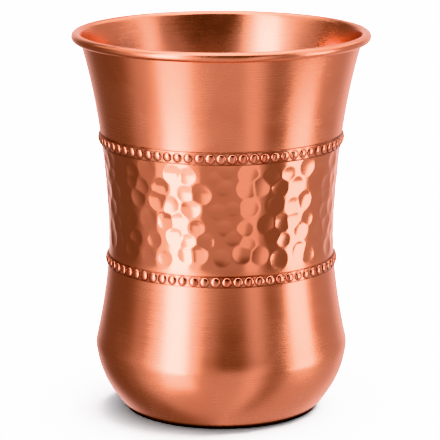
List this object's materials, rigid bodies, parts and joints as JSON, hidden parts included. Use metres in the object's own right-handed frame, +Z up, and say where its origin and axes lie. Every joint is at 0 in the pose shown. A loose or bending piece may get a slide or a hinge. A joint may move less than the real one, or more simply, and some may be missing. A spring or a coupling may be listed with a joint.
{
  "type": "lota tumbler",
  "caption": "Waisted copper tumbler in lota form, with a hammered band between two beaded strips, a rolled wired rim and a let-in dished base. Open at the top to hold a drink.",
  "frame": {"origin": "centre of the ring that the tumbler stands on, in the plane of the table", "axes": "+Z up along the axis of revolution, towards the mouth; +Y towards the side where the beaded strips' ends meet"},
  "size_m": [0.081, 0.081, 0.104],
  "materials": {
    "spun_copper": "finely brushed copper under a thin clear lacquer, with a polished hammered band",
    "beaded_copper": "stamped copper strip, bright on the beads and darkened between them",
    "copper_wire": "drawn copper wire, unpolished",
    "braze": "copper-phosphorus braze, dull and darkened"
  },
  "bodies": {
    "root": {"wall_shell": "spun_copper", "base_disc": "spun_copper", "rim_wire": "copper_wire", "upper_bead_strip": "beaded_copper", "lower_bead_strip": "beaded_copper", "base_seam": "braze", "upper_strip_braze": "braze", "lower_strip_braze": "braze"}
  },
  "joints": []
}
